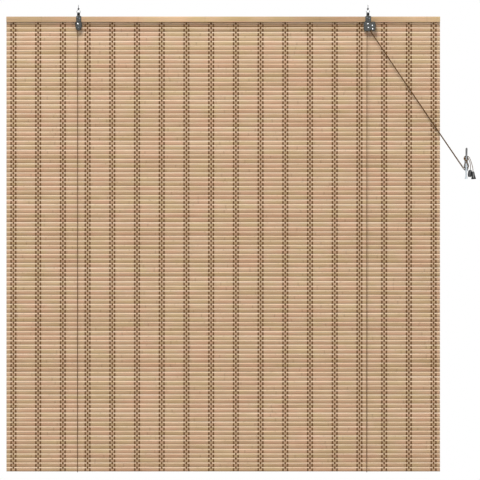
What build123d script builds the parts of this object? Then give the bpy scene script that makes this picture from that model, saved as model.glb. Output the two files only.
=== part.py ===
"""Bamboo roll up blind, 150 x 160 cm, with pulley, lock pulley, lift cords, hooks and cleat.

Lengths are in mm. Up is +Z, the room side is -Y, and the origin is midway between the two hooks, where their
collars meet the lintel. Places below are first given in the rail frame, whose height zero is the top of the
head rail and whose depth zero is the middle of the mat. save() carries them to the origin.
"""

import os
from math import atan2, cos, radians, sin

from build123d import *

os.makedirs("parts", exist_ok=True)

# mat: flat slats and round sticks in turn
BLIND_WIDTH = 1500.0
PITCH = 15.68
FIRST_STICK_Z = -25.2
STICK_D = 4.4
SLAT_T = 2.2
SLAT_EDGE_T = 1.0
EDGE_RISE = 1.1
WEB_FROM = 2.0
RUN_GAP = 0.35
MAT_TOP_Z = -1.5
HEM_SLAT = 11.26
TOP_STICKS = 8
section_sticks = [3] * 25 + [2] * 8
last_stick = TOP_STICKS + sum(section_sticks) - 1
HEM_Z = FIRST_STICK_Z - PITCH * last_stick - WEB_FROM - HEM_SLAT

# warp ladders
LADDER_PITCH = 85.5
LADDER_INSET = 25.0
LADDER_END = 21.0
ladders = int((BLIND_WIDTH - LADDER_INSET - LADDER_END) / LADDER_PITCH) + 1
WARP_OFFSET = 7.9
WARP_W = 2.4
WARP_T = 0.5
WARP_CLEAR = 0.1

# battens that clamp the mat
BATTEN_H = 20.0
BATTEN_T = 8.0
BATTEN_IN_Y = 2.5
BATTEN_SCREW_Z = -17.36
BATTEN_SCREW_INSET = 100.0
BATTEN_SCREW_D = 3.5
BATTEN_HEAD_D = 6.6

# pulleys
PLATE_T = 1.2
SIDE_GAP = 0.3
SHEAVE_W = 4.2
SHEAVE_R = 5.8
GROOVE_R = 3.2
GROOVE_W = 2.5
MOUTH_W = 3.4
AXLE_D = 2.6
CORD_D = 2.2
WRAP_R = 4.4
RUN_Z = -35.6
EYE_Z = 7.6
EYE_HOLE_R = 3.2
EYE_R = 5.2
HOOK_INSET = 249.8
HOOK_X = BLIND_WIDTH / 2 - HOOK_INSET
LEFT_CORD_X = -HOOK_X - 3.8
RIGHT_CORD_X = HOOK_X - 3.0

# hooks
LOOP_Z = 15.2
LOOP_R = 6.1
HOOK_WIRE_R = 1.15
HOOK_YAW = 45.0
HOOK_TURN = 310.0
COLLAR_Z = 24.5
COLLAR_H = 2.2
COLLAR_D = 7.0
HOOK_TIP_Z = 38.8

# cleat
CLEAT_FROM_MAT = 90.6
CLEAT_X = BLIND_WIDTH / 2 + CLEAT_FROM_MAT
CLEAT_MID_Z = -509.0
CLEAT_HALF = 54.0
CLEAT_TOP_Z = CLEAT_MID_Z + CLEAT_HALF
CLEAT_LOW_Z = CLEAT_MID_Z - CLEAT_HALF
CLEAT_BACK_Y = 6.0
BAR_W = 7.0
BAR_FRONT_Y = -9.0
BAR_BACK_Y = -4.0

# depth of things
REAR_RUN_Y = BATTEN_IN_Y + BATTEN_T / 2
BATTEN_FRONT_Y = -(BATTEN_IN_Y + BATTEN_T)
PLATE_MID_Y = BATTEN_FRONT_Y - PLATE_T / 2
REAR_SHEAVE_Y = BATTEN_FRONT_Y - PLATE_T - SIDE_GAP - SHEAVE_W / 2
FRONT_SHEAVE_Y = REAR_SHEAVE_Y - SHEAVE_W - SIDE_GAP
LEFT_FRONT_Y = REAR_SHEAVE_Y - SHEAVE_W / 2 - SIDE_GAP
RIGHT_FRONT_Y = FRONT_SHEAVE_Y - SHEAVE_W / 2 - SIDE_GAP
LINTEL_Z = COLLAR_Z + COLLAR_H
AXLE_Z = RUN_Z - WRAP_R
LEFT_AXLE_X = LEFT_CORD_X + WRAP_R
RIGHT_AXLE_X = RIGHT_CORD_X + WRAP_R


def save(name, shape):
    """Carries a shape, or a list of like solids, from the rail frame to the origin and writes it."""
    carry = Pos(0, -PLATE_MID_Y, -LINTEL_Z)
    if isinstance(shape, list):
        shape = Compound(children=[carry * one for one in shape])
    else:
        shape = carry * shape
    shape.label = name
    export_step(shape, "parts/" + name + ".step")


def rod_y(diameter, y_back, y_front, x, z):
    return Pos(x, (y_back + y_front) / 2, z) * Rot(90, 0, 0) * Cylinder(diameter / 2, abs(y_back - y_front))


def bore_y(diameter, y_back, y_front, x, z):
    """A hole's tool with flats that keep clear of a pin of the given diameter."""
    ring = RegularPolygon(diameter / 2, 10, major_radius=False)
    return flat_y(Pos(x, z) * ring, y_back, y_front)


def screw_y(shank_d, head_d, head_h, y_tip, y_seat, x, z):
    """A pan head screw without its thread, driven along Y. The head lies beyond the seat."""
    away = 1 if y_seat > y_tip else -1
    shank = flat_y(Pos(x, z) * RegularPolygon(shank_d / 2, 8), max(y_tip, y_seat), min(y_tip, y_seat))
    end = y_seat + away * head_h
    head = flat_y(Pos(x, z) * RegularPolygon(head_d / 2, 12), max(end, y_seat), min(end, y_seat))
    return shank + head


def block(x0, x1, y0, y1, z0, z1):
    return Pos((x0 + x1) / 2, (y0 + y1) / 2, (z0 + z1) / 2) * Box(abs(x1 - x0), abs(y1 - y0), abs(z1 - z0))


def flat_y(sketch, y_back, y_front):
    """A sketch drawn in X and Z, thickened from y_back forward to y_front."""
    face = Plane(origin=(0, y_back, 0), x_dir=(1, 0, 0), z_dir=(0, -1, 0)) * sketch
    return extrude(face, y_back - y_front)


# the mat

def stick_z(number):
    return FIRST_STICK_Z - PITCH * number


def wall(points):
    """A profile of depth and height, drawn out over the blind's width."""
    face = make_face(Polyline(*[(0, y, z) for y, z in points], close=True))
    solid = extrude(face, BLIND_WIDTH, dir=(1, 0, 0))
    return Pos(-BLIND_WIDTH / 2, 0, 0) * solid


def slat_front(z_high, z_low):
    """The front outline of one slat from stick to stick: the rounded skin side of split bamboo."""
    return [
        (-SLAT_EDGE_T / 2, z_high),
        (-SLAT_T / 2, z_high - EDGE_RISE),
        (-SLAT_T / 2, z_low + EDGE_RISE),
        (-SLAT_EDGE_T / 2, z_low),
    ]


def slat_back(z_high, z_low):
    """The back outline of one slat, which is split flat."""
    return [(SLAT_T / 2, z_high), (SLAT_T / 2, z_low)]


def stick_side(y, z_mid):
    """The outline of one stick between two slats, at its front or back."""
    rise = STICK_D / 2 * 0.42
    return [(y, z_mid + rise), (y, z_mid - rise)]


def outline(first, count, z_start, z_end):
    """Front and back outline of a run of slats, with the sticks from first, between two heights."""
    front = []
    back = []
    z_high = z_start
    for number in range(first, first + count):
        z_mid = stick_z(number)
        front = front + slat_front(z_high, z_mid + WEB_FROM) + stick_side(-STICK_D / 2, z_mid)
        back = back + slat_back(z_high, z_mid + WEB_FROM) + stick_side(STICK_D / 2, z_mid)
        z_high = z_mid - WEB_FROM
    front = front + slat_front(z_high, z_end)
    back = back + slat_back(z_high, z_end)
    return front + list(reversed(back))


def section(first, count, last):
    """A hinged stretch of mat. Its top stick is a true rod, whose axis is the hinge to the stretch above."""
    z_top = stick_z(first)
    reach = STICK_D / 2 - 0.4
    z_end = HEM_Z if last else stick_z(first + count) + STICK_D / 2 + RUN_GAP
    body = wall(outline(first + 1, count - 1, z_top - reach, z_end))
    end = Plane(origin=(-BLIND_WIDTH / 2, 0, z_top), x_dir=(0, 1, 0), z_dir=(1, 0, 0))
    stick = end * RegularPolygon(STICK_D / 2, 8)
    return body + extrude(stick, BLIND_WIDTH)


def mat_top():
    """The stretch that the battens clamp. It has holes for the batten screws."""
    z_end = stick_z(TOP_STICKS) + STICK_D / 2 + RUN_GAP
    body = wall(outline(-1, TOP_STICKS + 1, MAT_TOP_Z, z_end))
    for x in screw_places:
        body = body - bore_y(BATTEN_SCREW_D + 0.6, 5, -5, x, BATTEN_SCREW_Z)
    return body


screw_places = [BATTEN_SCREW_INSET - BLIND_WIDTH / 2, 0.0, BLIND_WIDTH / 2 - BATTEN_SCREW_INSET]
save("mat_top", mat_top())
stick = TOP_STICKS
for place, count in enumerate(section_sticks):
    save("mat_%02d" % (place + 1), section(stick, count, place == len(section_sticks) - 1))
    stick = stick + count

# warp threads, as straight tapes down the front of the sticks
tapes = []
for n in range(ladders):
    for side in (-1, 1):
        x = LADDER_INSET - BLIND_WIDTH / 2 + LADDER_PITCH * n + side * WARP_OFFSET
        y = -STICK_D / 2 - WARP_CLEAR
        tapes.append(block(x - WARP_W / 2, x + WARP_W / 2, y, y - WARP_T, -BATTEN_H - 0.3, HEM_Z + 1.0))
save("warp_threads", tapes)

# battens and the screws that clamp them
half = BLIND_WIDTH / 2
rail = block(-half, half, -BATTEN_IN_Y, BATTEN_FRONT_Y, -BATTEN_H, 0)
rail = chamfer(rail.edges().filter_by(Axis.X), 1.0)
back = block(-half, half, BATTEN_IN_Y, BATTEN_IN_Y + BATTEN_T, -BATTEN_H, 0)
back = chamfer(back.edges().filter_by(Axis.X), 1.0)
screws = []
back_y = BATTEN_IN_Y + BATTEN_T
for x in screw_places:
    back = back - bore_y(BATTEN_SCREW_D + 0.5, back_y + 1, BATTEN_IN_Y - 1, x, BATTEN_SCREW_Z)
    rail = rail - bore_y(BATTEN_SCREW_D + 0.2, -BATTEN_IN_Y + 1, BATTEN_FRONT_Y + 1.5, x, BATTEN_SCREW_Z)
    tip = BATTEN_FRONT_Y + 2.0
    screws.append(screw_y(BATTEN_SCREW_D, BATTEN_HEAD_D, 1.6, tip, back_y, x, BATTEN_SCREW_Z))
save("batten_screws", screws)

# pulley screws, two to a pulley
PULLEY_SCREW_D = 2.8
PULLEY_HEAD_D = 5.4
PULLEY_HEAD_H = 1.5
PULLEY_SCREW_LONG = 6.5
LEFT_SCREWS = [(-HOOK_X - 4.8, -4.5), (-HOOK_X + 3.2, -8.7)]
RIGHT_SCREWS = [(HOOK_X - 2.5, -5.2), (HOOK_X + 5.5, -9.0)]
places = LEFT_SCREWS + RIGHT_SCREWS
screws = []
plate_front = BATTEN_FRONT_Y - PLATE_T
for x, z in places:
    tip = BATTEN_FRONT_Y + PULLEY_SCREW_LONG
    rail = rail - bore_y(PULLEY_SCREW_D + 0.2, tip + 0.4, BATTEN_FRONT_Y - 1, x, z)
    screws.append(screw_y(PULLEY_SCREW_D, PULLEY_HEAD_D, PULLEY_HEAD_H, tip, plate_front, x, z))
save("pulley_screws", screws)
save("head_rail", rail)

# knots of the lift cords lie in holes of the rear batten
for x in (LEFT_CORD_X, RIGHT_CORD_X):
    ring = RegularPolygon(CORD_D / 2 + 0.3, 8, major_radius=False)
    back = back - Pos(x, REAR_RUN_Y, -BATTEN_H - 1) * extrude(ring, BATTEN_H + 2)
save("rear_batten", back)


# pulley cases

def eye_tab(x):
    top = Pos(x, EYE_Z) * Rot(0, 0, 15) * RegularPolygon(EYE_R * 1.03, 12)
    return top + Pos(x, EYE_Z - 5) * Rectangle(2 * EYE_R, 10)


def cut_corner(x, z, wide, tall, cut):
    """A pressed plate's outline: a rectangle with its corners cut at 45 degrees."""
    w, t = wide / 2, tall / 2
    right = [(w - cut, t), (w, t - cut), (w, cut - t), (w - cut, -t)]
    corners = right + [(-a, b) for a, b in reversed(right)]
    return Pos(x, z) * make_face(Polyline(*corners, close=True))


def plate_holes(plate, spots, y):
    for x, z, d in spots:
        plate = plate - bore_y(d, y + 3, y - 6, x, z)
    return plate


left_low = [(7.5, 20.6), (11.5, 17.0), (11.5, 3.2), (8.6, -5.0), (3.4, -10.4)]
left_low = left_low + [(-x, z) for x, z in reversed(left_low)]
left_low = make_face(Polyline(*[(LEFT_AXLE_X + x, AXLE_Z + z) for x, z in left_low], close=True))
CASE_TOP_Z = 0.3
NECK_Z = AXLE_Z + 20.3
left_high = cut_corner(LEFT_AXLE_X, (CASE_TOP_Z + NECK_Z) / 2, 18, CASE_TOP_Z - NECK_Z, 1.6)
LEFT_RIVET = (LEFT_AXLE_X - 2.3, AXLE_Z + 12.4)
shape = left_low + left_high + eye_tab(-HOOK_X)
plate = flat_y(shape, BATTEN_FRONT_Y, plate_front)
PLATE_HOLE_D = PULLEY_SCREW_D + 0.3
spots = [(-HOOK_X, EYE_Z, 2 * EYE_HOLE_R)] + [(x, z, PLATE_HOLE_D) for x, z in LEFT_SCREWS]
spots = spots + [(LEFT_AXLE_X, AXLE_Z, AXLE_D + 0.1), (LEFT_RIVET[0], LEFT_RIVET[1], AXLE_D + 0.1)]
save("left_case_back", plate_holes(plate, spots, BATTEN_FRONT_Y))


def cover(low, y_front, spots, skirt_cut):
    """A pressed front cover: a face, and a skirt round the top and sides that keeps its distance."""
    face = flat_y(low, y_front, y_front - PLATE_T)
    inner = offset(low, -PLATE_T, kind=Kind.INTERSECTION)
    rim = flat_y(low, plate_front, y_front) - flat_y(inner, plate_front + 1, y_front - 1)
    rim = rim - skirt_cut
    made = face + rim
    for x, z, d in spots:
        made = made - bore_y(d, y_front + 4, y_front - 4, x, z)
    return made


spots = [(LEFT_AXLE_X, AXLE_Z, AXLE_D + 0.1), (LEFT_RIVET[0], LEFT_RIVET[1], AXLE_D + 0.1)]
cut = block(LEFT_AXLE_X - 30, LEFT_AXLE_X + 30, 0, -40, AXLE_Z + 8, AXLE_Z - 20)
save("left_case_cover", cover(left_low, LEFT_FRONT_Y, spots, cut))


def sheave(x, y, z):
    """A wheel of two flanges and a groove, with a round bore."""
    side = (SHEAVE_W - MOUTH_W) / 2
    wheel = extrude(RegularPolygon(SHEAVE_R, 16), side)
    wheel = wheel + Pos(0, 0, side) * extrude(RegularPolygon(GROOVE_R, 12), MOUTH_W)
    wheel = wheel + Pos(0, 0, side + MOUTH_W) * extrude(RegularPolygon(SHEAVE_R, 16), side)
    wheel = wheel - Cylinder(AXLE_D / 2 + 0.08, 3 * SHEAVE_W)
    return Pos(x, y - SHEAVE_W / 2, z) * Rot(-90, 0, 0) * wheel


save("left_sheave", sheave(LEFT_AXLE_X, REAR_SHEAVE_Y, AXLE_Z))


def rivet(x, z, y_front):
    """A pin through both plates, with a flat head in front."""
    shank = rod_y(AXLE_D, BATTEN_FRONT_Y - 0.1, y_front - PLATE_T, x, z)
    seat = y_front - PLATE_T
    head = flat_y(Pos(x, z) * RegularPolygon(2.2, 12), seat, seat - 1.1)
    return shank + head


save("left_axle", rivet(LEFT_AXLE_X, AXLE_Z, LEFT_FRONT_Y))


def fixed_rivet(x, z, y_front):
    """A spacer rivet on which nothing turns."""
    return screw_y(AXLE_D, 4.4, 1.1, BATTEN_FRONT_Y - 0.1, y_front - PLATE_T, x, z)


save("left_rivet", fixed_rivet(LEFT_RIVET[0], LEFT_RIVET[1], LEFT_FRONT_Y))

# lock pulley on the right
RIGHT_RIVET = (RIGHT_AXLE_X - 2.5, AXLE_Z + 12.8)
CAM_PIN = (RIGHT_AXLE_X + 13.6, AXLE_Z + 7.1)
GUIDE_PIN = (RIGHT_AXLE_X + 14.8, AXLE_Z - 5.0)
big = cut_corner(RIGHT_AXLE_X - 3.4, AXLE_Z + 4.6, 26, 33.6, 5)
side = cut_corner(RIGHT_AXLE_X + 17.0, AXLE_Z + 4.4, 15.4, 31.5, 3.4)
bridge = Pos(RIGHT_AXLE_X + 9.4, AXLE_Z + 7.0) * Rectangle(12, 21)
right_low = big + side + bridge
right_high = cut_corner(HOOK_X + 1.0, (CASE_TOP_Z + NECK_Z) / 2, 19.7, CASE_TOP_Z - NECK_Z, 1.6)
plate = flat_y(right_low + right_high + eye_tab(HOOK_X), BATTEN_FRONT_Y, plate_front)
pins = [(RIGHT_AXLE_X, AXLE_Z, AXLE_D + 0.1), (RIGHT_RIVET[0], RIGHT_RIVET[1], AXLE_D + 0.1)]
pins = pins + [(CAM_PIN[0], CAM_PIN[1], AXLE_D + 0.1), (GUIDE_PIN[0], GUIDE_PIN[1], AXLE_D + 0.1)]
spots = pins + [(HOOK_X, EYE_Z, 2 * EYE_HOLE_R)] + [(x, z, PLATE_HOLE_D) for x, z in RIGHT_SCREWS]
save("lock_case_back", plate_holes(plate, spots, BATTEN_FRONT_Y))
cut = block(RIGHT_AXLE_X - 32, RIGHT_AXLE_X + 38, 0, -40, AXLE_Z + 9, AXLE_Z - 20)
save("lock_case_cover", cover(right_low, RIGHT_FRONT_Y, pins, cut))
save("lock_sheave_rear", sheave(RIGHT_AXLE_X, REAR_SHEAVE_Y, AXLE_Z))
save("lock_sheave_front", sheave(RIGHT_AXLE_X, FRONT_SHEAVE_Y, AXLE_Z))
save("lock_axle", rivet(RIGHT_AXLE_X, AXLE_Z, RIGHT_FRONT_Y))
lock_pins = [fixed_rivet(x, z, RIGHT_FRONT_Y) for x, z in (RIGHT_RIVET, GUIDE_PIN)]
lock_pins.append(rivet(CAM_PIN[0], CAM_PIN[1], RIGHT_FRONT_Y))
save("lock_pins", lock_pins)

# toothed cam that pinches the two cords against the sheaves' side
CAM_NOSE_R = 8.2
CAM_HUB_R = 4.3
NOSE_ANGLE = 213.7
TEETH = 5
nose = []
for n in range(2 * TEETH + 1):
    a = radians(NOSE_ANGLE - 32 + 64 * n / (2 * TEETH))
    r = CAM_NOSE_R - (0.9 if n % 2 == 0 else 0)
    nose.append((CAM_PIN[0] + r * cos(a), CAM_PIN[1] + r * sin(a)))
heel = radians(NOSE_ANGLE + 100)
nose.append((CAM_PIN[0] + 3.6 * cos(heel), CAM_PIN[1] + 3.6 * sin(heel)))
heel = radians(NOSE_ANGLE - 100)
nose.append((CAM_PIN[0] + 3.6 * cos(heel), CAM_PIN[1] + 3.6 * sin(heel)))
lobe = make_face(Polyline(*nose, close=True)) + Pos(*CAM_PIN) * Circle(CAM_HUB_R)
cam_back = plate_front - SIDE_GAP
cam = flat_y(lobe, cam_back, RIGHT_FRONT_Y + SIDE_GAP)
cam = cam - rod_y(AXLE_D + 0.16, 0, -40, CAM_PIN[0], CAM_PIN[1])
save("lock_cam", cam)


# hooks

def hook(x):
    """A screw hook: shank, collar and an open loop, turned so that it passes through the eye."""
    wire = Plane.XZ * (Pos(LOOP_R, 0) * RegularPolygon(HOOK_WIRE_R, 6))
    loop = revolve(wire, Axis.Z, HOOK_TURN)
    loop = Rot(0, 0, HOOK_YAW) * Rot(90, 0, 0) * Rot(0, 0, 90) * loop
    low = LOOP_R - HOOK_WIRE_R * 0.6
    shank = Pos(0, 0, (low + HOOK_TIP_Z - LOOP_Z - 3) / 2) * Cylinder(1.5, HOOK_TIP_Z - LOOP_Z - 3 - low)
    tip = Pos(0, 0, HOOK_TIP_Z - LOOP_Z - 1.5) * Cone(1.5, 0.3, 3)
    collar = Pos(0, 0, COLLAR_Z + COLLAR_H / 2 - LOOP_Z) * Cylinder(COLLAR_D / 2, COLLAR_H)
    return Pos(x, PLATE_MID_Y, LOOP_Z) * (loop + shank + tip + collar)


save("screw_hooks", [hook(-HOOK_X), hook(HOOK_X)])

# cleat: base on the window casing, two legs, and a bar with two horns
bar = [
    (BAR_FRONT_Y - 3.0, CLEAT_TOP_Z),
    (BAR_FRONT_Y + 0.4, CLEAT_TOP_Z - 20),
    (BAR_FRONT_Y + 0.6, CLEAT_MID_Z),
    (BAR_FRONT_Y + 0.4, CLEAT_LOW_Z + 20),
    (BAR_FRONT_Y - 3.0, CLEAT_LOW_Z),
    (BAR_FRONT_Y - 0.8, CLEAT_LOW_Z + 0.2),
    (BAR_BACK_Y, CLEAT_LOW_Z + 26),
    (BAR_BACK_Y, CLEAT_TOP_Z - 26),
    (BAR_FRONT_Y - 0.8, CLEAT_TOP_Z - 0.2),
]
bar = make_face(Polyline(*[(CLEAT_X - BAR_W / 2, y, z) for y, z in bar], close=True))
bar = extrude(bar, BAR_W, dir=(1, 0, 0))
for side in (-1, 1):
    z = CLEAT_MID_Z + side * 9.5
    bar = bar + block(CLEAT_X - 3, CLEAT_X + 3, BAR_BACK_Y - 1, CLEAT_BACK_Y, z - 4, z + 4)
foot_y = CLEAT_BACK_Y - 2.4
base = block(CLEAT_X - 6.5, CLEAT_X + 6.5, foot_y, CLEAT_BACK_Y, CLEAT_MID_Z - 27, CLEAT_MID_Z + 27)
base = fillet(base.edges().filter_by(Axis.Y), 5.5)
bar = bar + base
screws = []
for side in (-1, 1):
    z = CLEAT_MID_Z + side * 20.5
    bar = bar - bore_y(4.2, CLEAT_BACK_Y + 1, CLEAT_BACK_Y - 3, CLEAT_X, z)
    shank = rod_y(3.6, CLEAT_BACK_Y + 16, CLEAT_BACK_Y, CLEAT_X, z)
    screws.append(shank + screw_y(4.0, 6.8, 1.6, CLEAT_BACK_Y, CLEAT_BACK_Y - 2.4, CLEAT_X, z))
save("cleat", bar)
save("cleat_screws", screws)

# lift cords: from the rear batten down the back, under the hem and up the front to the pulleys
HEM_BEND = 3.8
HEM_BEND_Z = HEM_Z + 0.2


COIL_LEFT_X = CLEAT_X - 5.2
COIL_RIGHT_X = CLEAT_X + 5.2
COIL_BACK_Y = -2.4


def whole(points, bends):
    """A tube through points, with its own bend radius at each inner point."""
    edges = []
    here = Vector(*points[0])
    for n in range(1, len(points) - 1):
        a, b, c = Vector(*points[n - 1]), Vector(*points[n]), Vector(*points[n + 1])
        into = (b - a).normalized()
        out = (c - b).normalized()
        turn = radians(into.get_angle(out))
        reach = bends[n - 1] * sin(turn / 2) / cos(turn / 2)
        start = b - into * reach
        stop = b + out * reach
        inward = (out - into).normalized()
        centre = b + inward * (bends[n - 1] / cos(turn / 2))
        middle = centre - inward * bends[n - 1]
        edges.append(Line(here, start))
        edges.append(ThreePointArc(start, middle, stop))
        here = stop
    edges.append(Line(here, Vector(*points[-1])))
    path = Wire([e.edge() if hasattr(e, "edge") else e for e in edges])
    start = Plane(origin=path @ 0, z_dir=path % 0)
    return sweep(start * RegularPolygon(CORD_D / 2, 4), path=path)


def lift(x):
    """Corners and bends of a lift cord from its knot to the foot of its sheave."""
    low = HEM_BEND_Z - HEM_BEND
    points = [(x, REAR_RUN_Y, -8), (x, REAR_RUN_Y, -28), (x, HEM_BEND, -80)]
    points = points + [(x, HEM_BEND, low), (x, -HEM_BEND, low)]
    return points, [20, 20, HEM_BEND - 0.02, HEM_BEND - 0.02]


def coil(level, layer, tail):
    """Corners of a cord's turn on the cleat: behind the lower horn, across, and behind the upper horn."""
    low = CLEAT_MID_Z - level
    high = CLEAT_MID_Z + level
    points = [(COIL_LEFT_X, layer, low), (COIL_LEFT_X, COIL_BACK_Y, low), (COIL_RIGHT_X, COIL_BACK_Y, low)]
    points = points + [(COIL_RIGHT_X, layer, low), (COIL_LEFT_X, layer, high)]
    points = points + [(COIL_LEFT_X, COIL_BACK_Y, high), (COIL_RIGHT_X, COIL_BACK_Y, high)] + tail
    return points, [2.6] * 7 + [6.0] * (len(tail) - 1)


LEFT_LAYER = -10.8
RIGHT_LAYER = -13.6
LEFT_LEVEL = 20.0
RIGHT_LEVEL = 23.6

# left cord: up at the left sheave, across to the lock's rear sheave, and down to the cleat
points, bends = lift(LEFT_CORD_X)
points = points + [(LEFT_CORD_X, REAR_SHEAVE_Y, RUN_Z)]
bends = bends + [WRAP_R]
landing = (COIL_LEFT_X, LEFT_LAYER, CLEAT_MID_Z - LEFT_LEVEL)
slope = atan2(RUN_Z - landing[2], landing[0] - RIGHT_AXLE_X)
corner = RIGHT_AXLE_X + WRAP_R * sin(slope / 2) / cos(slope / 2)
points = points + [(corner, REAR_SHEAVE_Y, RUN_Z)]
bends = bends + [WRAP_R]
LEFT_END = (CLEAT_X + 12.8, -5.5, CLEAT_MID_Z - 24.5)
tail = [(CLEAT_X + 9.9, -1.5, CLEAT_MID_Z + 9.5), (CLEAT_X + 15.4, -4.0, CLEAT_MID_Z - 8.0), LEFT_END]
turn, turn_bends = coil(LEFT_LEVEL, LEFT_LAYER, tail)
save("left_cord", whole(points + turn, bends + turn_bends))

# right cord: up at the lock's front sheave, over it, and down to the cleat
points, bends = lift(RIGHT_CORD_X)
landing = (COIL_LEFT_X, RIGHT_LAYER, CLEAT_MID_Z - RIGHT_LEVEL)
slope = atan2(RUN_Z - landing[2], landing[0] - RIGHT_AXLE_X)
corner = RIGHT_AXLE_X + WRAP_R * sin(slope / 2) / cos(slope / 2)
points = points + [(RIGHT_CORD_X, FRONT_SHEAVE_Y, RUN_Z), (corner, FRONT_SHEAVE_Y, RUN_Z)]
bends = bends + [WRAP_R - 0.02, WRAP_R - 0.02]
RIGHT_END = (CLEAT_X + 22.45, -20.5, CLEAT_MID_Z - 29.8)
tail = [(CLEAT_X + 14.9, -7.0, CLEAT_MID_Z + 15.0), (CLEAT_X + 25.4, -15.0, CLEAT_MID_Z - 2.0)]
tail = tail + [(CLEAT_X + 22.7, -20.5, CLEAT_MID_Z - 19.0), RIGHT_END]
turn, turn_bends = coil(RIGHT_LEVEL, RIGHT_LAYER, tail)
save("right_cord", whole(points + turn, bends + turn_bends))

# tassels
BARREL_H = 24.5
BELL_H = 26.5
BELL_LEAN = 4.0
TASSEL_BORE_R = CORD_D / 2 + 0.5
barrel = Pos(0, 0, -BARREL_H / 2) * extrude(RegularPolygon(6, 12), BARREL_H)
barrel = chamfer(barrel.faces().sort_by(Axis.Z)[-1].edges(), 1.6)
barrel = barrel - Pos(0, 0, -BARREL_H) * extrude(RegularPolygon(TASSEL_BORE_R, 8), 2 * BARREL_H)
save("left_tassel", Pos(LEFT_END[0], LEFT_END[1], LEFT_END[2] + 1.55 - BARREL_H / 2) * barrel)
bell = extrude(RegularPolygon(7.4, 12), BELL_H, taper=8.5)
bell = bell - extrude(RegularPolygon(5.6, 12), 12, taper=9)
bell = bell - extrude(RegularPolygon(TASSEL_BORE_R, 8), BELL_H + 4)
bell = Rot(0, -BELL_LEAN, 0) * bell
save("right_tassel", Pos(RIGHT_END[0] + 1.85, RIGHT_END[1], RIGHT_END[2] + 1.3 - BELL_H) * bell)
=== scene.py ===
"""Look of the bamboo roll up blind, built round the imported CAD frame.

Places are given in mm in the rail frame of part.py: height zero is the top of the head rail and depth zero
is the middle of the mat. at() carries them to the row frame, in metres.
"""

import math
import random

import bmesh
import bpy
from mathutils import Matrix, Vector

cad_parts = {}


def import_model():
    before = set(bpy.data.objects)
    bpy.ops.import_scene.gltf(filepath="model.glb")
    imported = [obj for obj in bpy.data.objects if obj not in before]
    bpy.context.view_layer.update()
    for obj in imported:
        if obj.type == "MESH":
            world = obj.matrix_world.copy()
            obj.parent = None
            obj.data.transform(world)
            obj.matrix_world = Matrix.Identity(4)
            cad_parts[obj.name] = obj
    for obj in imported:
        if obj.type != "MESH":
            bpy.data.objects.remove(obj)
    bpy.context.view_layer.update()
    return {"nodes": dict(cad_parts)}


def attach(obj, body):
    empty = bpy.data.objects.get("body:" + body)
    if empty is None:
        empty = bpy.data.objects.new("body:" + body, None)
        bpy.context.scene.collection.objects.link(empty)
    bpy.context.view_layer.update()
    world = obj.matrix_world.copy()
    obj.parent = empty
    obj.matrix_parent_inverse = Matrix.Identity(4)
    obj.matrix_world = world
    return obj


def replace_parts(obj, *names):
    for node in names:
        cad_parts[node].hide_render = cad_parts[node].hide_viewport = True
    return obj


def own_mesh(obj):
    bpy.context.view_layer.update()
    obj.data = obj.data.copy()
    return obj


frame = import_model()

# the row frame's origin lies so far towards the room, and so far above the head rail's top
PLATE_Y = 11.1
LINTEL_Z = 26.7

# mat: slats and sticks follow each other at one pitch, and a part slat ends it between the battens
BLIND_WIDTH = 1500.0
PITCH = 15.68
FIRST_STICK_Z = -25.2
STICK_R = 2.2
SLAT_HALF = 5.66
HEM_Z = -1575.1
TOP_SLAT = (-2.4, -7.0)
# sticks above the first hinge, and in each hinged stretch below it
TOP_STICKS = 8
STRETCHES = [3] * 25 + [2] * 8

# warp ladders, each a middle thread with one on either side
LADDERS = 18
LADDER_PITCH = 85.5
LADDER_FIRST_X = -725.9
WARP_OFFSET = 7.9
WARP_TOP_Z = -20.4
# a stretch's threads start so far above its hinge stick's middle
HINGE_LAP = 1.7

# battens: their depth runs from near to far on either side of the mat
BATTEN_NEAR = 2.5
BATTEN_FAR = 10.5
BATTEN_MID_Z = -11.3
BATTEN_HALF_Z = 9.6
BATTEN_EDGE_R = 0.8
BATTEN_SCREW_X = (-650.0, 0.0, 650.0)
BATTEN_SCREW_Z = -17.36

# pulley, lock and hooks: the fronts are those of the batten, the back plates and the two covers
PLATE_T = 1.2
BATTEN_FRONT_Y = -BATTEN_FAR
PLATE_FRONT_Y = BATTEN_FRONT_Y - PLATE_T
LEFT_FRONT_Y = -16.5
RIGHT_FRONT_Y = -21.0
AXLE_Z = -40.0
LEFT_AXLE_X = -499.6
RIGHT_AXLE_X = 501.6
REAR_SHEAVE_Y = -14.1
FRONT_SHEAVE_Y = -18.6
HOOK_X = 500.2
EYE_Z = 7.6

# cords and cleat
CORD_D = 2.2
LEFT_CORD_X = -504.0
RIGHT_CORD_X = 497.2
RIGHT_RUN_SHIFT = 0.9
LIFT_START_Y = 6.5
LIFT_START_Z = -28.0
LIFT_END_Z = -44.0
CLEAT_X = 840.6
CLEAT_MID_Z = -509.0
CLEAT_SCREW = 20.5
BASE_FRONT_Y = 3.6

# camera, in mm
VIEW_X = 58.0
VIEW_Z = -774.3
VIEW_AWAY = 13840.0
LENS = 300
SENSOR = 36
FLOOR_Z = -1860


def at(x, y, z):
    """A place of the rail frame, in mm, as a place of the row frame, in metres."""
    return Vector((x, y + PLATE_Y, z - LINTEL_Z)) * 0.001


def linear(r, g, b):
    """A colour written as 0 to 255 on screen, as Blender's linear colour."""
    out = []
    for c in (r, g, b):
        c = c / 255
        out.append(c / 12.92 if c < 0.04045 else ((c + 0.055) / 1.055) ** 2.4)
    return (out[0], out[1], out[2], 1.0)


def add(name, data):
    """Puts new data in the scene as an object."""
    obj = bpy.data.objects.new(name, data)
    bpy.context.scene.collection.objects.link(obj)
    return obj


# shader nodes

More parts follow.
